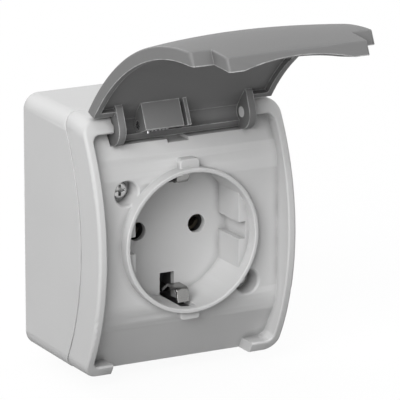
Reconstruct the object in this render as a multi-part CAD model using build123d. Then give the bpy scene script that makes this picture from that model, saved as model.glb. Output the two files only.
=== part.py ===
from build123d import *
import os
from math import asin, atan2, cos, degrees, radians, sin, sqrt, tan

# Outdoor wall socket with a hinged lid, in millimetres.
# Frame: origin at the centre of the rear face, on the wall. +X is right and +Z is up.
# The front looks along -Y, so a depth d in front of the wall lies at y = -d.
# Side outlines are drawn in (depth, z), front outlines in (x, z).

# Housing, shared by box and cover
BODY_W = 63.0
BODY_H = 75.2
BODY_CORNER = 4.8
BODY_WALL = 2.6
BODY_DRAFT = 0.4
BACK_WALL = 2.5
BOW_R = 67.0
SEAM_D = 36.0
SEAM_GAP = 0.3
COVER_SET = 0.25
COVER_BAND = 11.5
EDGE_ROUND = 1.0

# Seal in the seam
GASKET_T = 1.2
GASKET_LAND = 1.1

# Frame of the cover: rims, hinge blocks and lips
RIM_W = 2.8
RIM_CORNER = 2.2
RIM_ROUND = 0.5
BLOCK_H = 4.4
HINGE_GAP = 44.0
LIP_H = 3.5
LIP_GAP = 44.4

# Face of the cover, flat in the middle and sloped back above and below
FACE_SINK = 7.0
FACE_FLAT = 43.0
FACE_SLOPE = 33.0
FACE_BEND_R = 14.0
FACE_T = 2.2

# Plug recess
RECESS_Z = 0.7
RECESS_R = 19.75
RECESS_DEPTH = 16.2
RING_T = 1.3
RING_PROUD = 3.5
CUP_FLOOR = 2.0
PIN_PITCH = 19.0
PIN_HOLE_R = 2.75
RING_ROUND = 0.4
KEY_W = 6.2
KEY_REACH = 2.4
KEY_PROUD = 1.6
KEY_CORNER = 1.2
KEY_ROUND = 0.4
GUIDE_T = 3.35
GUIDE_DROP = 3.6
GUIDE_SLOT_W = 5.0
GUIDE_SLOT_T = 2.2
CLIP_SLOT_W = 4.6
CLIP_SLOT_L = 6.6
CLIP_SLOT_DROP = 3.2

# Cover screws, one on each side of the recess, on a diagonal
SCREW_SET = 3.4
SCREW_ANGLE = 38.7
WELL_R = 3.6
WELL_DEPTH = 6.5
WELL_FLOOR = 2.6
WELL_MOUTH = 0.5
SCREW_HEAD_R = 2.6
SCREW_HEAD_H = 2.0
SCREW_SHANK_R = 1.5
SCREW_HOLE_R = 1.7
COVER_SCREW_L = 15.0
SCREW_HEAD_ROUND = 0.8
CROSS_SPAN = 3.3
CROSS_W = 0.8
CROSS_DEPTH = 1.1
POST_R = 3.5
POST_GAP = 0.2

# Hinge
HINGE_SET = 2.0
HINGE_DROP = 3.5
OPEN_ANGLE = 115.0
STUB_R = 1.5
STUB_L = 2.6
RUN_FIT = 0.06
POCKET_SILL_GAP = 0.2
POCKET_BACK_GAP = 1.5
POCKET_WALL = 2.0

# Lid
LID_SIDE_GAP = 0.6
LID_NEST = 0.8
LID_EDGE_R = 71.0
LID_BAND = 3.4
LID_CROWN_R = 77.5
LID_DOME = 2.0
LID_DOME_FADE = 3.2
LID_T = 2.0
LID_SKIRT_T = 1.8
LID_ROUND = 0.5
LID_CORNER = 1.2
LID_END_DROP = 3.3
LID_END_SLOPE = 46.0
LID_END_GAP = 0.5
TAB_GAP = 0.7
TAB_OVERHANG = 3.5
TAB_BAND = 4.1
TAB_CORNER = 0.8
ARCH_HALF = 17.0
ARCH_RISE = 2.4

# Hinge side of the lid: lugs, barrel and spring housing
LUG_T = 2.2
LUG_GAP = 0.35
LUG_R = 4.9
BARREL_R = 4.75
BARREL_END = 135.0
HOUSING_X0 = -13.4
HOUSING_X1 = 0.9
RIB_T = 1.1
RIB_R = 2.2
SHELF_T = 1.2
SHELF_DROP = 3.3
SHELF_BACK = 2.4
SHELF_FRONT = 5.6
SHELF_SLIT = 1.2
NOTCH_X0 = -4.2
NOTCH_W = 6.7
NOTCH_DEPTH = 0.9
SPRING_PIN_R = 1.2
SPRING_WIRE = 0.8
SPRING_GAP = 0.4
SPRING_PITCH = 1.15
SPRING_TURNS = 6
SPRING_LEG = 3.0

# Insert behind the recess
CARRIER_SIDE_GAP = 2.9
CARRIER_H = 42.0
CARRIER_CORNER = 4.0
CARRIER_BACK = 8.0
CARRIER_GAP = 1.4
CARRIER_FOOT_D = 13.0
CARRIER_SCREW_L = 9.0
CHAMBER_W = 9.4
CHAMBER_LOW = 5.0
CHAMBER_FLOOR = 2.4
CHANNEL_W = 8.4
CHANNEL_FLOOR_D = 17.0
FIT = 0.05

# Contacts and terminals
STRIP_T = 1.0
STRIP_W = 6.6
TULIP_R = 3.4
TULIP_T = 0.9
TULIP_SLIT = 1.2
TULIP_L = 11.0
TERMINAL_RISE = 11.0
TERMINAL_BOSS_R = 2.6
TERMINAL_BOSS_L = 1.2
CLAMP_W = 6.4
CLAMP_T = 1.0
TERMINAL_HEAD_R = 2.5
TERMINAL_HEAD_H = 2.2
TERMINAL_SHANK_R = 1.4
TERMINAL_SCREW_L = 4.0
STRAP_T = 0.8
STRAP_W = 6.0
CLIP_W = 3.8
CLIP_SET = 1.35
CLIP_REACH = 4.1
CLIP_RISE_L = 4.0
CLIP_TOP_L = 5.2
CLIP_NOSE_L = 0.9
CLIP_NOSE_DROP = 1.0
CLIP_BEND = 1.4

# Cable entry in the bottom wall and fixings in the back wall
ENTRY_R = 8.4
ENTRY_MARGIN = 0.4
GROMMET_FLANGE = 2.0
GROMMET_FLANGE_T = 1.3
GROMMET_WEB = 2.0
GROMMET_SLEEVE_L = 7.0
CABLE_R = 4.2
WALL_HOLE_R = 2.2
WALL_HOLE_SIDE = 11.5
WALL_HOLE_END = 8.6

# Places worked out from the sizes above
HALF_W = BODY_W / 2
HALF_H = BODY_H / 2
RIM_D = SEAM_D + COVER_BAND
FACE_D = RIM_D - FACE_SINK
RING_D = FACE_D + RING_PROUD
RING_R = RECESS_R + RING_T
FLOOR_D = RING_D - RECESS_DEPTH
CUP_BACK_D = FLOOR_D - CUP_FLOOR
WELL_SEAT_D = FACE_D - WELL_DEPTH
BOSS_END_D = WELL_SEAT_D - WELL_FLOOR
BLOCK_Z = HALF_H - BLOCK_H
LIP_Z = LIP_H - HALF_H
HINGE_Z = HALF_H - HINGE_DROP
HINGE_D = RIM_D - BOW_R + sqrt(BOW_R**2 - HINGE_Z**2) - HINGE_SET
LID_HALF = HALF_W - RIM_W - LID_SIDE_GAP
LID_EDGE_D = RIM_D - LID_NEST
CROWN_D = LID_EDGE_D + LID_BAND
CROWN_CENTRE_D = CROWN_D - LID_CROWN_R
LID_CENTRE_Z = HINGE_Z - sqrt((LID_CROWN_R - BARREL_R) ** 2 - (HINGE_D - CROWN_CENTRE_D) ** 2)
CROWN_CENTRE = (CROWN_CENTRE_D, LID_CENTRE_Z)
SPRING_R = BARREL_R - LID_T - SPRING_WIRE / 2 - SPRING_GAP
HINGE_TURN = degrees(atan2(HINGE_Z - LID_CENTRE_Z, HINGE_D - CROWN_CENTRE_D))
SILL_Z = HINGE_Z - max(LUG_R, BARREL_R) - POCKET_SILL_GAP
POCKET_D = HINGE_D - BARREL_R - POCKET_BACK_GAP
LID_FREE_Z = LIP_Z + LID_END_GAP
TAB_HALF = LIP_GAP / 2 - TAB_GAP
TAB_END_Z = -HALF_H - TAB_OVERHANG
LID_DOME_LOW = degrees(asin((TAB_END_Z - LID_CENTRE_Z) / LID_CROWN_R))
LID_DOME_HIGH = HINGE_TURN - LID_DOME_FADE
LUG_X = HINGE_GAP / 2 - LUG_GAP
CARRIER_W = BODY_W - 2 * (BODY_WALL + CARRIER_SIDE_GAP)
CARRIER_FRONT = CUP_BACK_D - CARRIER_GAP
PIN_X = PIN_PITCH / 2
ENTRY_D = BACK_WALL + ENTRY_R + GROMMET_FLANGE + ENTRY_MARGIN
GUIDE_X = RECESS_R - GUIDE_T
CLIP_SLOT_IN = RECESS_R - CLIP_SLOT_L
CLIP_R = RECESS_R - CLIP_SET
SCREW_X = (RING_R + SCREW_SET) * cos(radians(SCREW_ANGLE))
SCREW_Z = (RING_R + SCREW_SET) * sin(radians(SCREW_ANGLE))
COVER_SCREWS = [(-SCREW_X, RECESS_Z + SCREW_Z), (SCREW_X, RECESS_Z - SCREW_Z)]
CARRIER_SCREWS = [(SCREW_X, RECESS_Z + SCREW_Z), (-SCREW_X, RECESS_Z - SCREW_Z)]
WALL_HOLE_X = BODY_W / 2 - WALL_HOLE_SIDE
WALL_HOLE_Z = BODY_H / 2 - WALL_HOLE_END
FAR = 3 * BODY_H

SIDE = Plane(origin=(0, 0, 0), x_dir=(0, -1, 0), z_dir=(-1, 0, 0))


def front_prism(sketch, low_d, high_d):
    """Solid of a front outline (x, z) between two depths."""
    return extrude(Plane.XZ.offset(low_d) * sketch, high_d - low_d)


def side_prism(sketch, low_x, high_x):
    """Solid of a side outline (depth, z) between two values of x."""
    return Pos(high_x, 0, 0) * extrude(SIDE * sketch, high_x - low_x)


def upright_prism(sketch, low_z, high_z):
    """Solid of a plan outline (x, y) between two heights."""
    return extrude(Plane.XY.offset(low_z) * sketch, high_z - low_z)


def block(low, high):
    """Box between two corners given as (x, depth, z)."""
    centre = Pos((low[0] + high[0]) / 2, (low[2] + high[2]) / 2)
    return front_prism(centre * Rectangle(high[0] - low[0], high[2] - low[2]), low[1], high[1])


def rod(x, z, radius, low_d, high_d):
    """Round bar along the depth."""
    return front_prism(Pos(x, z) * Circle(radius), low_d, high_d)


def outline(*points):
    """Closed face through the given corners."""
    return make_face(Polyline(*points, close=True))


def bow(crest, radius=BOW_R, centre=0.0):
    """Everything behind a front that is bowed in side view."""
    return side_prism(Pos(crest - radius, centre) * Circle(radius), -BODY_W, BODY_W)


def bow_depth(crest, radius, centre, z):
    """Depth of a bowed front at a height."""
    return crest - radius + sqrt(radius**2 - (z - centre) ** 2)


def body_outline(inset=0.0):
    """Front outline of the housing, drawn in by an inset."""
    return RectangleRounded(BODY_W - 2 * inset, BODY_H - 2 * inset, BODY_CORNER - inset)


def drafted(inset, low_d):
    """Housing prism from the seam back to a depth, narrower towards the wall."""
    sketch = Plane.XZ.offset(SEAM_D) * body_outline(inset)
    return extrude(sketch, SEAM_D - low_d, dir=(0, 1, 0), taper=BODY_DRAFT)


def open_lid(solid):
    """Turn a solid drawn with the lid closed to the open rest pose."""
    return Pos(0, -HINGE_D, HINGE_Z) * Rot(-OPEN_ANGLE, 0, 0) * Pos(0, HINGE_D, -HINGE_Z) * solid


def screw(x, z, seat_d, length, head_r, head_h, shank_r):
    """Pan-head screw with a cross recess, driven from the front."""
    head = rod(x, z, head_r, seat_d, seat_d + head_h)
    crown = head.faces().sort_by(Axis.Y)[0]
    head = fillet(crown.edges(), SCREW_HEAD_ROUND)
    cross = Rectangle(CROSS_W, CROSS_SPAN) + Rectangle(CROSS_SPAN, CROSS_W)
    top = seat_d + head_h
    head -= front_prism(Pos(x, z) * cross, top - CROSS_DEPTH, top)
    return head + rod(x, z, shank_r, seat_d - length, seat_d)


def rear_box():
    """Deep box on the wall, with posts, cable entry and a rebate for the seal."""
    box = drafted(0, 0) & bow(SEAM_D)
    box -= drafted(BODY_WALL, BACK_WALL)
    rebate = front_prism(body_outline(GASKET_LAND), 0, FAR) - bow(SEAM_D - GASKET_T)
    box -= rebate
    cup = rod(0, RECESS_Z, RING_R + POST_GAP, CUP_BACK_D - POST_GAP, FAR)
    for x, z in COVER_SCREWS:
        box += rod(x, z, POST_R, 0, BOSS_END_D - POST_GAP) - cup
        box -= rod(x, z, SCREW_SHANK_R + FIT, BACK_WALL, FAR)
    for x, z in CARRIER_SCREWS:
        box += rod(x, z, POST_R, 0, CARRIER_BACK)
        box -= rod(x, z, SCREW_SHANK_R + FIT, BACK_WALL, FAR)
    for x in (-WALL_HOLE_X, WALL_HOLE_X):
        for z in (-WALL_HOLE_Z, WALL_HOLE_Z):
            box -= rod(x, z, WALL_HOLE_R, 0, BACK_WALL)
    box -= upright_prism(Pos(0, -ENTRY_D) * Circle(ENTRY_R), -BODY_H, 0) - drafted(BODY_WALL, BACK_WALL)
    return box


def cover_gasket():
    """Rubber strip that follows the bowed seam."""
    ring = body_outline(GASKET_LAND + FIT) - body_outline(BODY_WALL)
    return (front_prism(ring, 0, FAR) & bow(SEAM_D + SEAM_GAP - FIT)) - bow(SEAM_D - GASKET_T + FIT)


def face_front():
    """Side outline of the space in front of the sloped face."""
    slope = tan(radians(FACE_SLOPE))
    top = RECESS_Z + FACE_FLAT / 2
    low = RECESS_Z - FACE_FLAT / 2
    run = BODY_H / 2
    space = outline(
        (FACE_D - run * slope, low - run),
        (FACE_D, low),
        (FACE_D, top),
        (FACE_D - run * slope, top + run),
        (FAR, top + run),
        (FAR, low - run),
    )
    bends = space.vertices().filter_by_position(Axis.X, FACE_D - FIT, FACE_D + FIT)
    return fillet(bends, FACE_BEND_R)


def cover_hollow():
    """Space inside the cover, behind its face and the hinge pocket."""
    behind = Rectangle(2 * FAR, BODY_H - 2 * BODY_WALL)
    behind -= offset(face_front(), FACE_T)
    pocket = outline(
        (POCKET_D - POCKET_WALL, SILL_Z - NOTCH_DEPTH - POCKET_WALL),
        (FAR, SILL_Z - NOTCH_DEPTH - POCKET_WALL),
        (FAR, BODY_H),
        (POCKET_D - POCKET_WALL, BODY_H),
    )
    half = HALF_W - BODY_WALL
    return side_prism(behind - pocket, -half, half)


def recess_cup(cover):
    """Add the round plug recess with its collar, guides and slots to the cover."""
    cover += rod(0, RECESS_Z, RING_R, CUP_BACK_D, RING_D)
    reach = RING_R + KEY_REACH
    key = Pos(0, RECESS_Z) * RectangleRounded(KEY_W, 2 * reach, KEY_CORNER)
    key = front_prism(key, FACE_D - FACE_T, FACE_D + KEY_PROUD)
    cover += fillet(key.faces().sort_by(Axis.Y)[0].edges(), KEY_ROUND)
    cover -= rod(0, RECESS_Z, RECESS_R, FLOOR_D, FAR)
    collar = cover.edges().filter_by_position(Axis.Y, -RING_D - FIT, -RING_D + FIT)
    cover = fillet(collar, RING_ROUND)
    guide_top = RING_D - GUIDE_DROP
    disc = Circle(RECESS_R)
    guides = disc - Rectangle(2 * GUIDE_X, FAR)
    guides -= Rectangle(2 * (GUIDE_X + GUIDE_SLOT_T), GUIDE_SLOT_W)
    cover += front_prism(Pos(0, RECESS_Z) * guides, FLOOR_D, guide_top)
    for sign in (-1, 1):
        cover -= rod(sign * PIN_X, RECESS_Z, PIN_HOLE_R, CUP_BACK_D, FLOOR_D)
        low, high = sorted((sign * CLIP_SLOT_IN, sign * (RING_R + FIT)))
        cover -= block(
            (-CLIP_SLOT_W / 2, 0, RECESS_Z + low),
            (CLIP_SLOT_W / 2, RING_D - CLIP_SLOT_DROP, RECESS_Z + high),
        )
    return cover


def front_cover():
    """Cover moulding: bowed frame, sloped face, recess, hinge blocks and stubs."""
    cover = front_prism(body_outline(COVER_SET), 0, RIM_D) & bow(RIM_D)
    front = cover.faces().filter_by(GeomType.CYLINDER).sort_by(SortBy.AREA)[-1]
    cover = fillet(front.edges(), EDGE_ROUND)
    cover -= bow(SEAM_D + SEAM_GAP)
    wall_x = HINGE_GAP / 2 + POCKET_WALL
    wall_z = SILL_Z - NOTCH_DEPTH - POCKET_WALL
    cover += block((-wall_x, POCKET_D - POCKET_WALL, wall_z), (wall_x, HINGE_D, HINGE_Z))
    ahead = side_prism(face_front(), -HALF_W, HALF_W)
    inside = Pos(0, (BLOCK_Z + LIP_Z) / 2)
    inside *= RectangleRounded(BODY_W - 2 * RIM_W, BLOCK_Z - LIP_Z, RIM_CORNER)
    cover -= ahead & front_prism(inside, 0, FAR)
    front = cover.faces().filter_by(GeomType.CYLINDER).sort_by(Axis.Y)[0]
    cover = fillet(front.inner_wires()[0].edges(), RIM_ROUND)
    cover -= ahead & block((-LIP_GAP / 2, 0, -BODY_H), (LIP_GAP / 2, FAR, LIP_Z + RIM_CORNER))
    cover -= block((-HINGE_GAP / 2, POCKET_D, SILL_Z), (HINGE_GAP / 2, FAR, BODY_H))
    cover -= block((NOTCH_X0, POCKET_D, SILL_Z - NOTCH_DEPTH), (NOTCH_X0 + NOTCH_W, FAR, BODY_H))
    cover -= cover_hollow()
    for x, z in COVER_SCREWS:
        cover += rod(x, z, WELL_R + WELL_FLOOR / 2, BOSS_END_D, FACE_D - FACE_T / 2)
        cover -= rod(x, z, WELL_R, WELL_SEAT_D, FAR)
        mouth = Plane.XZ.offset(FACE_D) * Pos(x, z) * Circle(WELL_R + WELL_MOUTH)
        cover -= extrude(mouth, WELL_MOUTH, dir=(0, 1, 0), taper=45)
        cover -= rod(x, z, SCREW_HOLE_R, 0, FAR)
    cover = recess_cup(cover)
    for sign in (-1, 1):
        low, high = sorted((sign * (HINGE_GAP / 2 - STUB_L), sign * (HINGE_GAP / 2 + FIT)))
        cover += side_prism(Pos(HINGE_D, HINGE_Z) * Circle(STUB_R), low, high)
    return cover


def lid_plan(inset=0.0):
    """Front outline of the closed lid with its finger tab."""
    top = BODY_H
    height = top - LID_FREE_Z
    plan = Pos(0, top - height / 2) * Rectangle(2 * LID_HALF, height)
    corners = plan.vertices().group_by(Axis.Y)[0]
    plan = fillet(corners, LID_CORNER)
    tab_h = LID_FREE_Z + LID_CORNER - TAB_END_Z
    tab = Pos(0, TAB_END_Z + tab_h / 2) * Rectangle(2 * TAB_HALF, tab_h)
    tab = fillet(tab.vertices().group_by(Axis.Y)[0], TAB_CORNER)
    plan += tab
    return offset(plan, -inset, kind=Kind.INTERSECTION) if inset else plan


def crown_section(turn, inset):
    """Section of the lid's crown on a plane through its axis, more domed in mid length."""
    span = (turn - LID_DOME_LOW) / (LID_DOME_HIGH - LID_DOME_LOW)
    rise = FIT + LID_DOME * sin(radians(180 * min(max(span, 0), 1))) ** 2
    half = LID_HALF + LID_T
    edge = LID_CROWN_R - inset
    crown = ThreePointArc((-half, edge), (0, edge + rise), (half, edge))
    sides = Polyline((half, edge), (half, edge / 2), (-half, edge / 2), (-half, edge))
    across = (0, -sin(radians(turn)), -cos(radians(turn)))
    plane = Plane((0, -CROWN_CENTRE[0], CROWN_CENTRE[1]), x_dir=(1, 0, 0), z_dir=across)
    return plane * make_face(crown + sides)


def lid_dome(inset=0.0):
    """Body whose outside is the bowed crown, pillowed in the middle and plain at both ends."""
    step = (LID_DOME_HIGH - LID_DOME_LOW) / 4
    return loft([crown_section(LID_DOME_LOW + step * i, inset) for i in range(-1, 6)])


def turned(centre, turn, length):
    """Point at a distance from a centre, turned up from the depth direction."""
    return (centre[0] + length * cos(radians(turn)), centre[1] + length * sin(radians(turn)))


def hinge_end(inset=0.0):
    """Side outline of what lies below the sloped hinge end beside the lugs."""
    slope = tan(radians(LID_END_SLOPE))
    start_z = HINGE_Z - LID_END_DROP
    start_d = bow_depth(LID_EDGE_D, LID_EDGE_R, LID_CENTRE_Z, start_z)
    start_z -= inset / cos(radians(LID_END_SLOPE))
    reach = BODY_H
    return outline(
        (start_d - reach, start_z - reach * slope),
        (start_d + reach, start_z + reach * slope),
        (start_d + reach, start_z - reach * slope),
    )


def below_barrel():
    """Side outline of what lies below the line from the crown's axis through the hinge."""
    return outline(
        CROWN_CENTRE,
        turned(CROWN_CENTRE, HINGE_TURN, FAR),
        turned(CROWN_CENTRE, HINGE_TURN - 90, FAR),
    )


def lid_reach(half, inset=0.0):
    """Space up to the hinge end: sloped at the sides, up to the barrel between them."""
    sides = side_prism(hinge_end(inset), -BODY_W, BODY_W)
    return sides + side_prism(below_barrel(), -half, half)


def behind_edge():
    """Space behind the bowed lower edge of the skirt and the edge of the tab."""
    edge = Pos(LID_EDGE_D - LID_EDGE_R, LID_CENTRE_Z) * Circle(LID_EDGE_R)
    root_d = bow_depth(LID_EDGE_D, LID_EDGE_R, LID_CENTRE_Z, LID_FREE_Z)
    tab_d = tab_edge()
    tab = outline((0, LID_FREE_Z), (root_d, LID_FREE_Z), (tab_d, TAB_END_Z), (tab_d, -FAR), (0, -FAR))
    return side_prism(edge + tab, -BODY_W, BODY_W)


def tab_edge():
    """Depth of the rear edge of the tab at its end."""
    return bow_depth(CROWN_D, LID_CROWN_R, LID_CENTRE_Z, TAB_END_Z) - TAB_BAND


def lid_shell():
    """Bowed and pillowed shell of the closed lid with its skirt and finger arch."""
    shell = lid_dome() & front_prism(lid_plan(), 0, FAR) & lid_reach(LUG_X)
    shell -= behind_edge()
    crown = shell.faces().sort_by(SortBy.AREA)[-1]
    brim = [e for e in crown.edges() if e.center().Z < HINGE_Z - 2 * LID_END_DROP]
    shell = fillet(brim, LID_ROUND)
    hollow = lid_dome(LID_T) & front_prism(lid_plan(LID_SKIRT_T), 0, FAR)
    shell -= hollow & lid_reach(LUG_X - LUG_T, LID_SKIRT_T)
    arch_r = (ARCH_HALF**2 + ARCH_RISE**2) / (2 * ARCH_RISE)
    arch = Pos(0, arch_r - tab_edge() - ARCH_RISE) * Circle(arch_r)
    return shell - upright_prism(arch, -BODY_H, TAB_END_Z + LID_SKIRT_T + FIT)


def barrel():
    """Side outline of the wall that carries the crown on round the hinge axis."""
    axis = (HINGE_D, HINGE_Z)
    reach = 3 * BARREL_R
    middle = (HINGE_TURN + BARREL_END) / 2
    keep = outline(axis, *[turned(axis, turn, reach) for turn in (HINGE_TURN, middle, BARREL_END)])
    return (Pos(*axis) * (Circle(BARREL_R) - Circle(BARREL_R - LID_T))) & keep


def on_lugs(sketch):
    """Side sketch drawn out over the thickness of both lugs."""
    return side_prism(sketch, LUG_X - LUG_T, LUG_X) + side_prism(sketch, -LUG_X, LUG_T - LUG_X)


def hinge_side():
    """Lugs, barrel and spring housing of the closed lid."""
    axis = Pos(HINGE_D, HINGE_Z)
    end_d = bow_depth(LID_EDGE_D, LID_EDGE_R, LID_CENTRE_Z, HINGE_Z - LID_END_DROP)
    root = Pos(end_d + LID_SKIRT_T, HINGE_Z - LID_END_DROP)
    lug = make_hull((axis * Circle(LUG_R) + root * Circle(LID_SKIRT_T)).edges())
    lugs = on_lugs(lug)
    shelf_z = HINGE_Z - SHELF_DROP
    shelf_d = HINGE_D - SHELF_BACK
    front_d = HINGE_D + SHELF_FRONT
    shelf = outline(
        (shelf_d, shelf_z),
        (front_d, shelf_z),
        (front_d, shelf_z - SHELF_T),
        (shelf_d, shelf_z - SHELF_T),
    )
    plate = side_prism(shelf, HOUSING_X0, HOUSING_X1 - RIB_T - SHELF_SLIT)
    rib = make_hull((axis * Circle(RIB_R) + shelf).edges())
    rib -= axis * Circle(SPRING_PIN_R + FIT)
    ribs = side_prism(rib, HOUSING_X0, HOUSING_X0 + RIB_T) + side_prism(rib, HOUSING_X1 - RIB_T, HOUSING_X1)
    return lugs + side_prism(barrel(), -LUG_X, LUG_X) + plate + ribs


def lid():
    """Lid moulding, open as in the rest pose."""
    bores = on_lugs(Pos(HINGE_D, HINGE_Z) * Circle(STUB_R + RUN_FIT))
    return open_lid(lid_shell() + hinge_side() - bores)


def spring_pin():
    """Steel pin across the spring housing, on the hinge axis."""
    pin = side_prism(Pos(HINGE_D, HINGE_Z) * Circle(SPRING_PIN_R), HOUSING_X0, HOUSING_X1)
    return open_lid(pin)


def lid_spring():
    """Torsion spring round the pin, one leg on the shelf and one out at the back."""
    length = SPRING_PITCH * SPRING_TURNS
    first_x = HOUSING_X0 + RIB_T + SPRING_WIRE
    coil_path = Helix(SPRING_PITCH, length, SPRING_R, lefthand=True)
    start = coil_path @ 0
    section = Plane(origin=start, z_dir=coil_path % 0) * Circle(SPRING_WIRE / 2)
    coil = sweep(section, coil_path, is_frenet=True)
    for point, direction in ((coil_path @ 0, coil_path % 0), (coil_path @ 1, coil_path % 1)):
        sign = -1 if point.Z < length / 2 else 1
        leg = extrude(Plane(origin=point, z_dir=direction * sign) * Circle(SPRING_WIRE / 2), SPRING_LEG)
        coil += leg
    placed = Plane(origin=(first_x, -HINGE_D, HINGE_Z), x_dir=(0, 0, -1), z_dir=(1, 0, 0)) * coil
    return open_lid(placed)


def contact_carrier():
    """Insulating insert with open chambers for the contacts and terminals."""
    plan = Pos(0, RECESS_Z) * RectangleRounded(CARRIER_W, CARRIER_H, CARRIER_CORNER)
    carrier = front_prism(plan, CARRIER_BACK, CARRIER_FRONT)
    top = RECESS_Z + CARRIER_H
    for sign in (-1, 1):
        carrier -= block(
            (sign * PIN_X - CHAMBER_W / 2, CARRIER_BACK + CHAMBER_FLOOR, RECESS_Z - CHAMBER_LOW),
            (sign * PIN_X + CHAMBER_W / 2, FAR, top),
        )
    carrier -= block((-CHANNEL_W / 2, CHANNEL_FLOOR_D, -FAR), (CHANNEL_W / 2, FAR, FAR))
    carrier -= rod(0, RECESS_Z, TERMINAL_BOSS_R + FIT, CARRIER_BACK, FAR)
    for x, z, _ in TERMINALS.values():
        carrier -= rod(x, z, TERMINAL_SHANK_R + POST_GAP, 0, FAR)
    for x, z in COVER_SCREWS:
        carrier -= rod(x, z, POST_R + POST_GAP, 0, FAR)
    for x, z in CARRIER_SCREWS:
        carrier -= rod(x, z, SCREW_HEAD_R + POST_GAP, CARRIER_FOOT_D, FAR)
        carrier -= rod(x, z, SCREW_HOLE_R, 0, FAR)
    return carrier


def carrier_screws():
    """Two screws that hold the insert on its posts."""
    return [
        screw(x, z, CARRIER_FOOT_D, CARRIER_SCREW_L, SCREW_HEAD_R, SCREW_HEAD_H, SCREW_SHANK_R - FIT)
        for x, z in CARRIER_SCREWS
    ]


def cover_screws():
    """Two screws in the wells of the cover."""
    return [
        screw(x, z, WELL_SEAT_D, COVER_SCREW_L, SCREW_HEAD_R, SCREW_HEAD_H, SCREW_SHANK_R)
        for x, z in COVER_SCREWS
    ]


def pin_contact(sign):
    """Slit tulip contact on a strip that carries its terminal."""
    x = sign * PIN_X
    base_d = CARRIER_BACK + CHAMBER_FLOOR
    end_z = RECESS_Z + TERMINAL_RISE + CLAMP_W / 2
    strip = block((x - STRIP_W / 2, base_d, RECESS_Z - TULIP_R), (x + STRIP_W / 2, base_d + STRIP_T, end_z))
    tulip = rod(x, RECESS_Z, TULIP_R, base_d, base_d + STRIP_T + TULIP_L)
    tulip -= rod(x, RECESS_Z, TULIP_R - TULIP_T, base_d + STRIP_T, FAR)
    tulip -= block(
        (x - FAR, base_d + 2 * STRIP_T, RECESS_Z - TULIP_SLIT / 2),
        (x + FAR, FAR, RECESS_Z + TULIP_SLIT / 2),
    )
    boss_z = RECESS_Z + TERMINAL_RISE
    boss = rod(x, boss_z, TERMINAL_BOSS_R, base_d, base_d + STRIP_T + TERMINAL_BOSS_L)
    contact = strip + tulip + boss
    return contact - rod(x, boss_z, TERMINAL_SHANK_R + FIT, 0, FAR)


def pin_terminal_seat():
    """Depth of the front of a pin contact's terminal boss."""
    return CARRIER_BACK + CHAMBER_FLOOR + STRIP_T + TERMINAL_BOSS_L


def clip_profile():
    """Side outline of the earth strap with its two sprung clips."""
    bed = CHANNEL_FLOOR_D + STRAP_T / 2
    touch = RECESS_R - CLIP_REACH
    rise_d = FLOOR_D + CLIP_RISE_L
    nose_d = rise_d + CLIP_TOP_L
    end = (nose_d + CLIP_NOSE_L, CLIP_R + CLIP_NOSE_DROP)
    half = [(bed, CLIP_R), (FLOOR_D, CLIP_R), (rise_d, touch), (nose_d, touch), end]
    points = [(d, RECESS_Z - z) for d, z in reversed(half)] + [(d, RECESS_Z + z) for d, z in half]
    path = FilletPolyline(*points, radius=CLIP_BEND)
    return trace(path, STRAP_T)


def earth_strap():
    """Earth strap in its channel, bent forward into a sprung clip at each end."""
    strap = side_prism(clip_profile(), -CLIP_W / 2, CLIP_W / 2)
    low = (-STRAP_W / 2, CHANNEL_FLOOR_D, RECESS_Z - CLIP_SLOT_IN)
    strap += block(low, (STRAP_W / 2, CHANNEL_FLOOR_D + STRAP_T, RECESS_Z + CLIP_SLOT_IN))
    strap += rod(0, RECESS_Z, TERMINAL_BOSS_R, CHANNEL_FLOOR_D - TERMINAL_BOSS_L, CHANNEL_FLOOR_D)
    return strap - rod(0, RECESS_Z, TERMINAL_SHANK_R + FIT, 0, FAR)


def clamp(x, z, seat_d):
    """Square clamp plate under a terminal screw."""
    plate = Pos(x, z) * (RectangleRounded(CLAMP_W, CLAMP_W, CLAMP_T) - Circle(TERMINAL_SHANK_R + FIT))
    return front_prism(plate, seat_d, seat_d + CLAMP_T)


TERMINALS = {
    "line": (-PIN_X, RECESS_Z + TERMINAL_RISE, pin_terminal_seat()),
    "neutral": (PIN_X, RECESS_Z + TERMINAL_RISE, pin_terminal_seat()),
    "earth": (0, RECESS_Z, CHANNEL_FLOOR_D + STRAP_T),
}


def terminal_screws():
    """One screw for each of the three terminals."""
    return [
        screw(
            x,
            z,
            seat_d + CLAMP_T,
            TERMINAL_SCREW_L,
            TERMINAL_HEAD_R,
            TERMINAL_HEAD_H,
            TERMINAL_SHANK_R,
        )
        for x, z, seat_d in TERMINALS.values()
    ]


def cable_grommet():
    """Rubber entry: two flanges round the wall, a web and an inner sleeve."""
    wall_z = -HALF_H + (SEAM_D - ENTRY_D) * tan(radians(BODY_DRAFT))
    at = Pos(0, -ENTRY_D)
    slack = 2 * ENTRY_R * tan(radians(BODY_DRAFT))
    low = wall_z - slack
    high = wall_z + BODY_WALL + slack
    grommet = upright_prism(at * Circle(ENTRY_R + GROMMET_FLANGE), low - GROMMET_FLANGE_T, low)
    grommet += upright_prism(at * Circle(ENTRY_R + GROMMET_FLANGE), high, high + GROMMET_FLANGE_T)
    grommet += upright_prism(at * Circle(ENTRY_R - FIT), low, high)
    grommet -= upright_prism(at * Circle(ENTRY_R - GROMMET_WEB), low - FAR, high - GROMMET_WEB)
    grommet += upright_prism(at * Circle(CABLE_R + GROMMET_WEB), high - GROMMET_WEB, high + GROMMET_SLEEVE_L)
    grommet -= upright_prism(at * Circle(CABLE_R), -FAR, FAR)
    return grommet


def write(name, shape):
    """Write one piece, or a group of separate pieces, under its name."""
    solids = shape if isinstance(shape, list) else [shape]
    piece = solids[0] if len(solids) == 1 else Compound(children=solids)
    export_step(piece, os.path.join("parts", name + ".step"))


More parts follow.
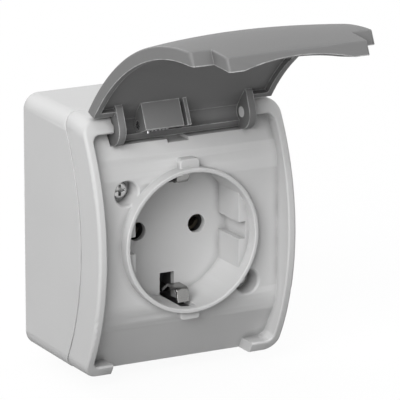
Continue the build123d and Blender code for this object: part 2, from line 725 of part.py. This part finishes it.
def main():
    os.makedirs("parts", exist_ok=True)
    write("rear_box", rear_box())
    write("cover_gasket", cover_gasket())
    write("cable_grommet", cable_grommet())
    write("contact_carrier", contact_carrier())
    write("carrier_screws", carrier_screws())
    write("line_contact", pin_contact(-1))
    write("neutral_contact", pin_contact(1))
    write("earth_strap", earth_strap())
    for name, place in TERMINALS.items():
        write(name + "_clamp", clamp(*place))
    write("terminal_screws", terminal_screws())
    write("front_cover", front_cover())
    write("cover_screws", cover_screws())
    write("lid", lid())
    write("spring_pin", spring_pin())
    write("lid_spring", lid_spring())


if __name__ == "__main__":
    main()
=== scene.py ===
"""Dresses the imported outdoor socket: moulded edges, finishes, studio and camera."""

import logging
import math
from dataclasses import dataclass
from enum import Enum, IntEnum
from typing import Any, ClassVar

import bpy
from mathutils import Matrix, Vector

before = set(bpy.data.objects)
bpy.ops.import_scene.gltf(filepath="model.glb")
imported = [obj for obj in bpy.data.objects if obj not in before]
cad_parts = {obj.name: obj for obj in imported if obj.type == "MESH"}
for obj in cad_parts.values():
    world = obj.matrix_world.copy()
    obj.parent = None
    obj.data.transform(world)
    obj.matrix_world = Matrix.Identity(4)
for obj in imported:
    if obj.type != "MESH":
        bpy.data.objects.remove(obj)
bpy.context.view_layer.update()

LOG = logging.getLogger("socket")
MM = 0.001

Colour = tuple[float, float, float]
Span = tuple[float, float]
Inputs = dict[str | int, Any]
Results = dict[str, bpy.types.NodeSocket]

WHITE: Colour = (1.0, 1.0, 1.0)
# Near-black mixed into metal corners, as dirt and as painted shade in the recesses and round screw heads.
GRIME_AND_SHADE: Colour = (0.03, 0.03, 0.03)

# Full range of a mask, and the part of that range that a noise mostly fills
FULL: Span = (0.0, 1.0)
NOISE_SPAN: Span = (0.3, 0.7)


class Slot(Enum):
    """Material slots of the record."""

    HOUSING = "housing_plastic"
    LID = "lid_plastic"
    SEAL = "seal_rubber"
    CARRIER = "carrier_plastic"
    BRASS = "contact_brass"
    NICKEL = "earth_nickel"
    SPRING = "spring_steel"
    SCREW = "screw_steel"


class Operation(Enum):
    """What a Math node works out."""

    ADD = "ADD"
    MULTIPLY = "MULTIPLY"
    MULTIPLY_ADD = "MULTIPLY_ADD"
    DIVIDE = "DIVIDE"


class Blend(Enum):
    """Ways to mix two colours."""

    MIX = "MIX"
    MULTIPLY = "MULTIPLY"


class MixSocket(IntEnum):
    """Socket numbers of the Mix node when it mixes colours."""

    FACTOR = 0
    FIRST = 6
    SECOND = 7
    RESULT = 2


def opaque(colour: Colour) -> tuple[float, float, float, float]:
    """Colour with full alpha."""
    return (*colour, 1.0)


def paler(colour: Colour, gain: float) -> Colour:
    """Colour times a gain, no brighter than white."""
    return tuple(min(1.0, gain * part) for part in colour)


def around(middle: float, swing: float) -> Span:
    """Two ends at a swing below and above a middle."""
    return (middle - swing, middle + swing)


class Graph:
    """Adds nodes to one node tree and joins their sockets."""

    def __init__(self, tree: bpy.types.NodeTree) -> None:
        """Start on a tree and clear it.

        Args:
            tree: Node tree of a material, a world or a group.
        """
        self.tree = tree
        tree.nodes.clear()

    def give(self, socket: bpy.types.NodeSocket, value: Any) -> None:
        """Link an input to an output, or set its value.

        Args:
            socket: Input socket.
            value: Output socket, or a plain value.
        """
        if isinstance(value, bpy.types.NodeSocket):
            self.tree.links.new(value, socket)
        else:
            socket.default_value = value

    def add(self, kind: str, inputs: Inputs | None = None, **settings: Any) -> bpy.types.Node:
        """Add a node, set its options, and set or link its inputs.

        Args:
            kind: Type name of the node.
            inputs: Values or output sockets by input name or number.
            **settings: Attributes of the node.

        Returns:
            The new node.
        """
        node = self.tree.nodes.new(kind)
        for key, value in settings.items():
            setattr(node, key, value)
        for key, value in (inputs or {}).items():
            self.give(node.inputs[key], value)
        return node

    def math(self, operation: Operation, *values: Any, clamp: bool = False) -> bpy.types.NodeSocket:
        """Join a Math node.

        Args:
            operation: What to work out.
            *values: Numbers or sockets, in order.
            clamp: Whether the result is kept between 0 and 1.

        Returns:
            The result socket.
        """
        inputs = dict(enumerate(values))
        node = self.add("ShaderNodeMath", inputs, operation=operation.value, use_clamp=clamp)
        return node.outputs[0]

    def spread(self, value: bpy.types.NodeSocket, span: Span, to: Span) -> bpy.types.NodeSocket:
        """Stretch a span of values over another span.

        Args:
            value: Socket to read.
            span: Values that become the two ends.
            to: The two ends.

        Returns:
            The stretched value, clamped to the ends.
        """
        ends = {"From Min": span[0], "From Max": span[1], "To Min": to[0], "To Max": to[1]}
        return self.add("ShaderNodeMapRange", {"Value": value, **ends}).outputs["Result"]

    def blend(self, factor: Any, first: Any, second: Any, mode: Blend = Blend.MIX) -> bpy.types.NodeSocket:
        """Mix two colours.

        Args:
            factor: Share of the second colour.
            first: Colour or socket.
            second: Colour or socket.
            mode: Way to mix.

        Returns:
            The mixed colour.
        """
        node = self.add("ShaderNodeMix", data_type="RGBA", blend_type=mode.value)
        self.give(node.inputs[MixSocket.FACTOR], factor)
        for index, colour in ((MixSocket.FIRST, first), (MixSocket.SECOND, second)):
            self.give(node.inputs[index], opaque(colour) if isinstance(colour, tuple) else colour)
        return node.outputs[MixSocket.RESULT]

    def place(self) -> bpy.types.NodeSocket:
        """Place of each point on the object itself."""
        return self.add("ShaderNodeTexCoord").outputs["Object"]

    def scale(self, size: bpy.types.NodeSocket) -> bpy.types.NodeSocket:
        """Scale of a texture whose patches have a size."""
        return self.math(Operation.DIVIDE, 1.0, size)

    def noise(
        self,
        place: bpy.types.NodeSocket,
        scale: bpy.types.NodeSocket,
        detail: float,
        roughness: float = 0.5,
    ) -> bpy.types.NodeSocket:
        """Add a noise.

        Args:
            place: Where the noise is read.
            scale: Scale of its patches.
            detail: Number of finer layers.
            roughness: Share that each finer layer keeps.

        Returns:
            The noise's value.
        """
        inputs = {"Vector": place, "Scale": scale, "Detail": detail, "Roughness": roughness}
        return self.add("ShaderNodeTexNoise", inputs).outputs[0]


class Effect:
    """A shader node group that several finishes share."""

    name: ClassVar[str]
    inputs: ClassVar[dict[str, float]]
    outputs: ClassVar[tuple[str, ...]]

    @classmethod
    def tree(cls) -> bpy.types.NodeTree:
        """Find the group, or build it the first time.

        Returns:
            The node group.
        """
        found = bpy.data.node_groups.get(cls.name)
        if found:
            return found
        tree = bpy.data.node_groups.new(cls.name, "ShaderNodeTree")
        for label, value in cls.inputs.items():
            socket = tree.interface.new_socket(label, in_out="INPUT", socket_type="NodeSocketFloat")
            socket.default_value = value
        for label in cls.outputs:
            tree.interface.new_socket(label, in_out="OUTPUT", socket_type="NodeSocketFloat")
        graph = Graph(tree)
        results = cls.build(graph, graph.add("NodeGroupInput"))
        graph.add("NodeGroupOutput", results)
        return tree

    @classmethod
    def place(cls, graph: Graph, **values: float) -> bpy.types.Node:
        """Place the group in a material.

        Args:
            graph: Graph of the material.
            **values: Inputs by name, with _ for a space.

        Returns:
            The group node.
        """
        inputs = {label.replace("_", " "): value for label, value in values.items()}
        return graph.add("ShaderNodeGroup", inputs, node_tree=cls.tree())

    @classmethod
    def build(cls, graph: Graph, given: bpy.types.Node) -> Results:
        """Make the group's nodes.

        Args:
            graph: Graph of the group.
            given: The group's input node.

        Returns:
            Result sockets by output name.
        """
        raise NotImplementedError


class MouldGrain(Effect):
    """Spark-eroded grain of a moulded skin, with slow drift of tone."""

    name = "Mould Grain"
    inputs = {"Grain Size": 0.35 * MM, "Drift Size": 22.0 * MM}
    outputs = ("Height", "Drift", "Speck")
    grain_detail: ClassVar[float] = 3.0
    grain_roughness: ClassVar[float] = 0.6
    pit_share: ClassVar[float] = 0.5
    drift_detail: ClassVar[float] = 2.0

    @classmethod
    def build(cls, graph: Graph, given: bpy.types.Node) -> Results:
        """Layer two grains and one slow noise.

        Args:
            graph: Graph of the group.
            given: The group's input node.

        Returns:
            Height of the grain, drift of tone and fine specks.
        """
        place = graph.place()
        fine_scale = graph.scale(given.outputs["Grain Size"])
        slow_scale = graph.scale(given.outputs["Drift Size"])
        fine = graph.noise(place, fine_scale, cls.grain_detail, cls.grain_roughness)
        pit_inputs = {"Vector": place, "Scale": fine_scale}
        pits = graph.add("ShaderNodeTexVoronoi", pit_inputs, feature="SMOOTH_F1").outputs["Distance"]
        drift = graph.noise(place, slow_scale, cls.drift_detail)
        height = graph.math(Operation.MULTIPLY_ADD, pits, cls.pit_share, fine)
        return {"Height": height, "Drift": drift, "Speck": fine}


class EdgeRubAndHighlight(Effect):
    """Mask of the outer edges, broken up as handling leaves it; finishes pale their edges by it, as wear
    and as a painted highlight.
    """

    name = "Edge Rub And Highlight"
    inputs = {"Width": 0.5 * MM, "Break Size": 2.5 * MM}
    outputs = ("Mask",)
    samples: ClassVar[int] = 6
    turn_span: ClassVar[Span] = (0.995, 0.86)
    break_detail: ClassVar[float] = 4.0
    break_span: ClassVar[Span] = (0.35, 0.65)
    break_ends: ClassVar[Span] = (0.35, 1.0)

    @classmethod
    def build(cls, graph: Graph, given: bpy.types.Node) -> Results:
        """Compare the normal with a rounded one and break up what differs.

        Args:
            graph: Graph of the group.
            given: The group's input node.

        Returns:
            Mask, 1 on the sharpest edges.
        """
        plain = graph.add("ShaderNodeNewGeometry").outputs["Normal"]
        radius = {"Radius": given.outputs["Width"]}
        soft = graph.add("ShaderNodeBevel", radius, samples=cls.samples).outputs["Normal"]
        compare = graph.add("ShaderNodeVectorMath", {0: plain, 1: soft}, operation="DOT_PRODUCT")
        edge = graph.spread(compare.outputs["Value"], cls.turn_span, FULL)
        scale = graph.scale(given.outputs["Break Size"])
        noise = graph.noise(graph.place(), scale, cls.break_detail)
        broken = graph.spread(noise, cls.break_span, cls.break_ends)
        return {"Mask": graph.math(Operation.MULTIPLY, edge, broken)}


class CornerDustAndShade(Effect):
    """Mask of the inner corners, read from how close other walls are; finishes darken corners by it as
    dirt and as painted shade, and rubber blooms there.
    """

    name = "Corner Dust And Shade"
    inputs = {"Reach": 2.0 * MM, "Patch Size": 6.0 * MM}
    outputs = ("Mask",)
    samples: ClassVar[int] = 8
    open_span: ClassVar[Span] = (0.85, 0.35)
    patch_detail: ClassVar[float] = 3.0
    patch_ends: ClassVar[Span] = (0.5, 1.0)

    @classmethod
    def build(cls, graph: Graph, given: bpy.types.Node) -> Results:
        """Read how close other walls are, and break it up.

        Args:
            graph: Graph of the group.
            given: The group's input node.

        Returns:
            Mask, 1 in the deepest corners.
        """
        reach = {"Distance": given.outputs["Reach"]}
        near = graph.add("ShaderNodeAmbientOcclusion", reach, samples=cls.samples)
        corner = graph.spread(near.outputs["AO"], cls.open_span, FULL)
        scale = graph.scale(given.outputs["Patch Size"])
        noise = graph.noise(graph.place(), scale, cls.patch_detail)
        patches = graph.spread(noise, NOISE_SPAN, cls.patch_ends)
        return {"Mask": graph.math(Operation.MULTIPLY, corner, patches)}


class DrawnLines(Effect):
    """Fine lines left by drawing, rolling or plating."""

    name = "Drawn Lines"
    inputs = {"Line Size": 0.12 * MM, "Stretch": 14.0}
    outputs = ("Height", "Tarnish")
    line_detail: ClassVar[float] = 3.0
    stain_detail: ClassVar[float] = 4.0
    stain_span: ClassVar[Span] = (0.4, 0.7)
    lines_per_stain: ClassVar[float] = 18.0

    @classmethod
    def build(cls, graph: Graph, given: bpy.types.Node) -> Results:
        """Stretch a noise along X and add stains.

        Args:
            graph: Graph of the group.
            given: The group's input node.

        Returns:
            Height of the lines and mask of the tarnish.
        """
        place = graph.place()
        parts = graph.add("ShaderNodeSeparateXYZ", {0: place}).outputs
        squeezed = graph.math(Operation.DIVIDE, parts["X"], given.outputs["Stretch"])
        along = graph.add("ShaderNodeCombineXYZ", {"X": squeezed, "Y": parts["Y"], "Z": parts["Z"]})
        scale = graph.scale(given.outputs["Line Size"])
        lines = graph.noise(along.outputs[0], scale, cls.line_detail)
        stain_scale = graph.math(Operation.DIVIDE, scale, cls.lines_per_stain)
        stain = graph.noise(place, stain_scale, cls.stain_detail)
        return {"Height": lines, "Tarnish": graph.spread(stain, cls.stain_span, FULL)}


@dataclass(frozen=True)
class Finish:
    """What every finish has: its slot and its main colour."""

    slot: Slot
    colour: Colour

    def material(self) -> bpy.types.Material:
        """Build the finish's material.

        Returns:
            The new material, named after its slot.
        """
        made = bpy.data.materials.new(f"{self.slot.value}_finish")
        made.use_nodes = True
        graph = Graph(made.node_tree)
        shader = graph.add("ShaderNodeBsdfPrincipled")
        self.dress(graph, shader)
        graph.add("ShaderNodeOutputMaterial", {"Surface": shader.outputs[0]})
        return made

    def dress(self, graph: Graph, shader: bpy.types.Node) -> None:
        """Feed the shader's sockets.

        Args:
            graph: Graph of the material.
            shader: Its Principled node.
        """
        raise NotImplementedError

    @staticmethod
    def bump(graph: Graph, shader: bpy.types.Node, height: bpy.types.NodeSocket, depth: float) -> None:
        """Raise the surface by a height.

        Args:
            graph: Graph of the material.
            shader: Its Principled node.
            height: Height socket.
            depth: Full depth in metres.
        """
        node = graph.add("ShaderNodeBump", {"Height": height, "Strength": 1.0, "Distance": depth})
        graph.give(shader.inputs["Normal"], node.outputs[0])


@dataclass(frozen=True)
class MouldedPlastic(Finish):
    """Matt injection-moulded plastic."""

    roughness: float
    grain: float
    grain_depth: float
    drift: float
    # Edge settings: they pale the edges, as wear and as a painted highlight.
    rub_and_highlight: float
    rub_and_highlight_gain: float
    sheen: float
    # Corner settings: they darken the corners, as dirt and as painted shade.
    dust_and_shade: float
    dust_and_shade_reach: float
    dust_and_shade_colour: Colour
    roughness_swing: ClassVar[float] = 0.05
    rub_polish: ClassVar[float] = 0.12
    dust_dulling: ClassVar[float] = 0.3
    reaches_per_patch: ClassVar[float] = 2.0
    ior: ClassVar[float] = 1.5

    def dress(self, graph: Graph, shader: bpy.types.Node) -> None:
        """Give the plastic grain, drift of tone, paler edges from wear and a painted highlight, and darker
        corners from dirt and painted shade.

        Args:
            graph: Graph of the material.
            shader: Its Principled node.
        """
        grain = MouldGrain.place(graph, Grain_Size=self.grain).outputs
        rub_and_highlight = EdgeRubAndHighlight.place(graph).outputs["Mask"]
        patch = self.reaches_per_patch * self.dust_and_shade_reach
        dust_and_shade = CornerDustAndShade.place(graph, Reach=self.dust_and_shade_reach, Patch_Size=patch).outputs["Mask"]
        tone = graph.spread(grain["Drift"], NOISE_SPAN, around(1.0, self.drift))
        grey = graph.add("ShaderNodeCombineColor", {0: tone, 1: tone, 2: tone}).outputs[0]
        body = graph.blend(1.0, self.colour, grey, Blend.MULTIPLY)
        # The edge mask pales the base colour as wear and as a painted highlight.
        worn_and_highlit = graph.math(Operation.MULTIPLY, rub_and_highlight, self.rub_and_highlight)
        rubbed_and_highlit = graph.blend(worn_and_highlit, body, paler(self.colour, self.rub_and_highlight_gain))
        # The corner mask darkens the base colour as dirt and as painted shade.
        dusty_and_shaded = graph.math(Operation.MULTIPLY, dust_and_shade, self.dust_and_shade)
        graph.give(shader.inputs["Base Color"], graph.blend(dusty_and_shaded, rubbed_and_highlit, self.dust_and_shade_colour))
        rough = graph.spread(grain["Speck"], NOISE_SPAN, around(self.roughness, self.roughness_swing))
        polished = graph.math(Operation.MULTIPLY_ADD, rub_and_highlight, -self.rub_polish, rough)
        dulled = graph.math(Operation.MULTIPLY_ADD, dusty_and_shaded, self.dust_dulling, polished, clamp=True)
        graph.give(shader.inputs["Roughness"], dulled)
        self.bump(graph, shader, grain["Height"], self.grain_depth)
        shader.inputs["IOR"].default_value = self.ior
        shader.inputs["Specular IOR Level"].default_value = self.sheen


@dataclass(frozen=True)
class SoftRubber(Finish):
    """Moulded rubber with bloom in its corners."""

    roughness: float
    grain: float
    grain_depth: float
    bloom: Colour
    roughness_swing: ClassVar[float] = 0.08
    drift_size: ClassVar[float] = 8.0 * MM
    haze_span: ClassVar[Span] = (0.4, 0.75)
    haze_ends: ClassVar[Span] = (0.0, 0.35)
    corner_bloom: ClassVar[float] = 0.5

    def dress(self, graph: Graph, shader: bpy.types.Node) -> None:
        """Give the rubber grain and a grey bloom.

        Args:
            graph: Graph of the material.
            shader: Its Principled node.
        """
        grain = MouldGrain.place(graph, Grain_Size=self.grain, Drift_Size=self.drift_size).outputs
        dust_and_shade = CornerDustAndShade.place(graph).outputs["Mask"]
        haze = graph.spread(grain["Drift"], self.haze_span, self.haze_ends)
        body = graph.blend(haze, self.colour, self.bloom)
        corner = graph.math(Operation.MULTIPLY, dust_and_shade, self.corner_bloom)
        graph.give(shader.inputs["Base Color"], graph.blend(corner, body, self.bloom))
        rough = graph.spread(grain["Speck"], NOISE_SPAN, around(self.roughness, self.roughness_swing))
        graph.give(shader.inputs["Roughness"], rough)
        self.bump(graph, shader, grain["Height"], self.grain_depth)


@dataclass(frozen=True)
class BareMetal(Finish):
    """Drawn, stamped or plated metal with a little tarnish."""

    roughness: float
    grime_and_shade: float
    tarnish: float
    tarnish_colour: Colour
    line: float
    line_depth: float
    roughness_swing: ClassVar[float] = 0.06
    stain_dulling: ClassVar[float] = 0.3
    rub_and_highlight: ClassVar[float] = 0.6
    rub_and_highlight_gain: ClassVar[float] = 1.3
    rub_width: ClassVar[float] = 0.25 * MM
    grime_and_shade_reach: ClassVar[float] = 1.2 * MM
    grime_and_shade_patch: ClassVar[float] = 3.0 * MM

    def dress(self, graph: Graph, shader: bpy.types.Node) -> None:
        """Give the metal drawn lines, tarnish, bright edges, and darker corners from dirt and painted
        shade.

        Args:
            graph: Graph of the material.
            shader: Its Principled node.
        """
        lines = DrawnLines.place(graph, Line_Size=self.line).outputs
        rub_and_highlight = EdgeRubAndHighlight.place(graph, Width=self.rub_width).outputs["Mask"]
        dust_and_shade = CornerDustAndShade.place(graph, Reach=self.grime_and_shade_reach, Patch_Size=self.grime_and_shade_patch).outputs
        stain = graph.math(Operation.MULTIPLY, lines["Tarnish"], self.tarnish)
        body = graph.blend(stain, self.colour, self.tarnish_colour)
        bright = graph.math(Operation.MULTIPLY, rub_and_highlight, self.rub_and_highlight)
        rubbed_and_highlit = graph.blend(bright, body, paler(self.colour, self.rub_and_highlight_gain))
        # The corner mask mixes near-black into the base colour, as dirt and as painted shade.
        grimy_and_shaded = graph.math(Operation.MULTIPLY, dust_and_shade["Mask"], self.grime_and_shade)
        graph.give(shader.inputs["Base Color"], graph.blend(grimy_and_shaded, rubbed_and_highlit, GRIME_AND_SHADE))
        rough = graph.spread(lines["Height"], NOISE_SPAN, around(self.roughness, self.roughness_swing))
        dulled = graph.math(Operation.MULTIPLY_ADD, stain, self.stain_dulling, rough, clamp=True)
        graph.give(shader.inputs["Roughness"], dulled)
        shader.inputs["Metallic"].default_value = 1.0
        self.bump(graph, shader, lines["Height"], self.line_depth)


HOUSING_PLASTIC = MouldedPlastic(
    Slot.HOUSING,
    colour=(0.52, 0.52, 0.52),
    roughness=0.66,
    grain=0.3 * MM,
    grain_depth=0.02 * MM,
    drift=0.015,
    # Paler edges here are mostly a painted highlight along the rims, with some wear.
    rub_and_highlight=0.45,
    rub_and_highlight_gain=1.4,
    sheen=0.4,
    # Darker corners here are painted shade in the recess, the screw wells and beside the collar, with some
    # dirt.
    dust_and_shade=0.65,
    dust_and_shade_reach=3.0 * MM,
    dust_and_shade_colour=(0.14, 0.14, 0.14),
)
LID_PLASTIC = MouldedPlastic(
    Slot.LID,
    colour=(0.16, 0.16, 0.16),
    roughness=0.6,
    grain=0.3 * MM,
    grain_depth=0.015 * MM,
    drift=0.02,
    # Paler edges here are mostly a painted highlight along the lid's edges.
    rub_and_highlight=0.9,
    rub_and_highlight_gain=4.2,
    sheen=0.36,
    # Darker corners here, reaching 8 mm, are painted shade over the hinge plate and knuckle.
    dust_and_shade=0.8,
    dust_and_shade_reach=8.0 * MM,
    dust_and_shade_colour=(0.04, 0.04, 0.04),
)
CARRIER_PLASTIC = MouldedPlastic(
    Slot.CARRIER,
    colour=(0.09, 0.09, 0.09),
    roughness=0.55,
    grain=0.5 * MM,
    grain_depth=0.03 * MM,
    drift=0.03,
    rub_and_highlight=0.2,
    rub_and_highlight_gain=1.3,
    sheen=0.5,
    dust_and_shade=0.4,
    dust_and_shade_reach=2.0 * MM,
    dust_and_shade_colour=(0.14, 0.135, 0.13),
)
SEAL_RUBBER = SoftRubber(
    Slot.SEAL,
    colour=(0.035, 0.035, 0.036),
    roughness=0.7,
    grain=0.4 * MM,
    grain_depth=0.03 * MM,
    bloom=(0.11, 0.11, 0.11),
)
CONTACT_BRASS = BareMetal(
    Slot.BRASS,
    colour=(0.24, 0.215, 0.165),
    roughness=0.32,
    grime_and_shade=0.7,
    tarnish=0.4,
    tarnish_colour=(0.12, 0.1, 0.07),
    line=0.15 * MM,
    line_depth=0.01 * MM,
)
EARTH_NICKEL = BareMetal(
    Slot.NICKEL,
    colour=(0.28, 0.28, 0.275),
    roughness=0.18,
    grime_and_shade=0.6,
    tarnish=0.2,
    tarnish_colour=(0.12, 0.115, 0.11),
    line=0.2 * MM,
    line_depth=0.006 * MM,
)
SPRING_STEEL = BareMetal(
    Slot.SPRING,
    colour=(0.45, 0.45, 0.46),
    roughness=0.24,
    grime_and_shade=0.6,
    tarnish=0.2,
    tarnish_colour=(0.34, 0.32, 0.3),
    line=0.1 * MM,
    line_depth=0.005 * MM,
)
# The strong corner darkening on the screws is painted shade in the cross recess and round the head, with
# some dirt.
SCREW_STEEL = BareMetal(
    Slot.SCREW,
    colour=(0.62, 0.62, 0.62),
    roughness=0.18,
    grime_and_shade=0.9,
    tarnish=0.3,
    tarnish_colour=(0.4, 0.39, 0.38),
    line=0.18 * MM,
    line_depth=0.008 * MM,
)


@dataclass
class SubAssembly:
    """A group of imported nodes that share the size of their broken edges."""

    edge: float
    edge_segments: int = 2
    edge_turn: float = math.radians(32.0)
    weld: float = 0.004 * MM

    def finishes(self) -> dict[str, Finish]:
        """Finish of each node, by the node's name."""
        raise NotImplementedError

    def dress(self) -> None:
        """Round the edges of every node and give it its finish."""
        made: dict[Slot, bpy.types.Material] = {}
        for name, finish in self.finishes().items():
            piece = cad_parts[name]
            if finish.slot not in made:
                made[finish.slot] = finish.material()
            self.soften(piece)
            piece.material_slots[0].material = made[finish.slot]
            LOG.info("dressed %s with %s", name, finish.slot.value)

    def soften(self, piece: bpy.types.Object) -> None:
        """Close the skin, break its sharp edges and keep broad faces flat.

        Args:
            piece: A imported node.
        """
        weld = piece.modifiers.new("closed_skin", "WELD")
        weld.merge_threshold = self.weld
        bevel = piece.modifiers.new("broken_edges", "BEVEL")
        bevel.width = self.edge
        bevel.segments = self.edge_segments
        bevel.limit_method = "ANGLE"
        bevel.angle_limit = self.edge_turn
        bevel.harden_normals = True
        bevel.use_clamp_overlap = True


@dataclass
class Housing(SubAssembly):
    """Wall box and the cover that is screwed on it."""

    edge: float = 0.3 * MM

    def finishes(self) -> dict[str, Finish]:
        """Finish of each node, by the node's name."""
        return {"rear_box": HOUSING_PLASTIC, "front_cover": HOUSING_PLASTIC}


@dataclass
class Lid(SubAssembly):
    """Hinged lid."""

    edge: float = 0.3 * MM

    def finishes(self) -> dict[str, Finish]:
        """Finish of each node, by the node's name."""
        return {"lid": LID_PLASTIC}


@dataclass
class Seals(SubAssembly):
    """Rubber in the seam and in the cable entry."""

    edge: float = 0.2 * MM

    def finishes(self) -> dict[str, Finish]:
        """Finish of each node, by the node's name."""
        return {"cover_gasket": SEAL_RUBBER, "cable_grommet": SEAL_RUBBER}


@dataclass
class Insert(SubAssembly):
    """Insulating insert behind the recess."""

    edge: float = 0.2 * MM

    def finishes(self) -> dict[str, Finish]:
        """Finish of each node, by the node's name."""
        return {"contact_carrier": CARRIER_PLASTIC}


@dataclass
class Contacts(SubAssembly):
    """Pin contacts, clamp plates and the earth strap."""

    edge: float = 0.12 * MM

    def finishes(self) -> dict[str, Finish]:
        """Finish of each node, by the node's name."""
        brass = ("line_contact", "neutral_contact", "line_clamp", "neutral_clamp", "earth_clamp")
        return dict.fromkeys(brass, CONTACT_BRASS) | {"earth_strap": EARTH_NICKEL}


@dataclass
class Hardware(SubAssembly):
    """Screws, the spring of the lid and its pin."""

    edge: float = 0.08 * MM

    def finishes(self) -> dict[str, Finish]:
        """Finish of each node, by the node's name."""
        screws = dict.fromkeys(("cover_screws", "carrier_screws", "terminal_screws"), SCREW_STEEL)
        return screws | {"spring_pin": SPRING_STEEL, "lid_spring": SPRING_STEEL}


def outward(azimuth: float, elevation: float) -> Vector:
    """Direction from the object, straight ahead at azimuth 0.

    Args:
        azimuth: Turn to the right in degrees.
        elevation: Rise in degrees.

    Returns:
        Unit vector.
    """
    turn, rise = math.radians(azimuth), math.radians(elevation)
    return Vector((math.sin(turn) * math.cos(rise), -math.cos(turn) * math.cos(rise), math.sin(rise)))


@dataclass(frozen=True)
class PanelLamp:
    """Soft panel lamp: where it hangs, its size in metres and its watts."""

    name: str
    azimuth: float
    elevation: float
    distance: float
    size: tuple[float, float]
    power: float


MAIN_PANEL = PanelLamp("main", azimuth=-48.0, elevation=27.0, distance=1.4, size=(1.0, 0.85), power=23.0)
FRONT_PANEL = PanelLamp("front", azimuth=-12.0, elevation=7.0, distance=1.4, size=(0.8, 0.16), power=2.6)
TOP_PANEL = PanelLamp("top", azimuth=-20.0, elevation=84.0, distance=1.35, size=(1.2, 1.2), power=5.8)
RIGHT_PANEL = PanelLamp("right", azimuth=96.0, elevation=27.0, distance=1.4, size=(1.1, 0.6), power=8.0)
REAR_PANEL = PanelLamp("rear", azimuth=-168.0, elevation=27.0, distance=1.4, size=(1.1, 0.6), power=9.5)


@dataclass
class Studio:
    """Floor, light and camera of a plain product picture."""

    panels: tuple[PanelLamp, ...] = (MAIN_PANEL, FRONT_PANEL, TOP_PANEL, RIGHT_PANEL, REAR_PANEL)
    floor_z: float = -41.5 * MM
    floor_half: float = 4.0
    floor_colour: Colour = (0.9, 0.9, 0.9)
    bounce_colour: Colour = (0.24, 0.24, 0.24)
    floor_white: float = 0.94
    ambient: float = 0.08
    target: tuple[float, float, float] = (2.13 * MM, -43.9 * MM, 12.4 * MM)
    azimuth: float = -28.0
    elevation: float = 15.32
    distance: float = 1262.96 * MM
    lens: float = 405.8
    sensor: float = 36.0

    def build(self) -> None:
        """Make the floor, the world, the lamps and the camera."""
        bpy.context.scene.view_settings.view_transform = "Standard"
        self.floor()
        self.world()
        for panel in self.panels:
            self.hang(panel)
        self.camera()

    def seen(self, graph: Graph) -> bpy.types.NodeSocket:
        """Mask of the rays that show the background to the camera.

        Args:
            graph: Graph of the floor or the world.

        Returns:
            1 for camera, glossy and transmission rays.
        """
        path = graph.add("ShaderNodeLightPath").outputs
        shown = graph.math(Operation.ADD, path["Is Camera Ray"], path["Is Glossy Ray"])
        return graph.math(Operation.ADD, shown, path["Is Transmission Ray"], clamp=True)

    def floor(self) -> None:
        """Lay the pale floor, which keeps a light shadow."""
        half = self.floor_half
        corners = [(-half, -half, 0), (half, -half, 0), (half, half, 0), (-half, half, 0)]
        mesh = bpy.data.meshes.new("floor")
        mesh.from_pydata(corners, [], [(0, 1, 2, 3)])
        plane = bpy.data.objects.new("floor", mesh)
        plane.location.z = self.floor_z
        bpy.context.scene.collection.objects.link(plane)
        mesh.materials.append(self.floor_paint())

    def floor_paint(self) -> bpy.types.Material:
        """Mix a matt paint with plain white, for the rays that show the floor.

        Returns:
            The floor's material.
        """
        paint = bpy.data.materials.new("floor_paint")
        paint.use_nodes = True
        graph = Graph(paint.node_tree)
        seen = self.seen(graph)
        colour = graph.blend(seen, self.bounce_colour, self.floor_colour)
        matt = graph.add("ShaderNodeBsdfDiffuse", {"Color": colour})
        white = graph.add("ShaderNodeEmission", {"Color": opaque(WHITE), "Strength": 1.0})
        share = graph.math(Operation.MULTIPLY, seen, self.floor_white)
        mixed = graph.add("ShaderNodeMixShader", {0: share, 1: matt.outputs[0], 2: white.outputs[0]})
        graph.add("ShaderNodeOutputMaterial", {"Surface": mixed.outputs[0]})
        return paint

    def world(self) -> None:
        """Put white behind the object, and an even soft light on it."""
        world = bpy.data.worlds.new("studio")
        bpy.context.scene.world = world
        world.use_nodes = True
        graph = Graph(world.node_tree)
        level = graph.spread(self.seen(graph), FULL, (self.ambient, 1.0))
        sky = graph.add("ShaderNodeBackground", {"Color": opaque(WHITE), "Strength": level})
        graph.add("ShaderNodeOutputWorld", {"Surface": sky.outputs[0]})

    def aim(self, thing: bpy.types.Object, azimuth: float, elevation: float, distance: float) -> None:
        """Stand a lamp or the camera off the object and point it there.

        Args:
            thing: Lamp or camera.
            azimuth: Turn to the right in degrees.
            elevation: Rise in degrees.
            distance: Way from the target in metres.
        """
        back = outward(azimuth, elevation)
        thing.location = Vector(self.target) + back * distance
        thing.rotation_euler = (-back).to_track_quat("-Z", "Y").to_euler()
        bpy.context.scene.collection.objects.link(thing)

    def hang(self, panel: PanelLamp) -> None:
        """Hang a panel lamp.

        Args:
            panel: The lamp.
        """
        data = bpy.data.lights.new(panel.name, "AREA")
        data.shape = "RECTANGLE"
        data.size, data.size_y = panel.size
        data.energy = panel.power
        lamp = bpy.data.objects.new(panel.name, data)
        self.aim(lamp, panel.azimuth, panel.elevation, panel.distance)

    def camera(self) -> None:
        """Set up a long lens at the picture's angle."""
        data = bpy.data.cameras.new("camera")
        data.lens = self.lens
        data.sensor_width = self.sensor
        camera = bpy.data.objects.new("camera", data)
        self.aim(camera, self.azimuth, self.elevation, self.distance)
        bpy.context.scene.camera = camera


def main() -> None:
    """Dress the socket and light it."""
    logging.basicConfig(level=logging.INFO, format="%(name)s: %(message)s")
    for part in (Housing(), Lid(), Seals(), Insert(), Contacts(), Hardware()):
        part.dress()
    Studio().build()
    bpy.context.view_layer.update()


if __name__ == "__main__":
    main()
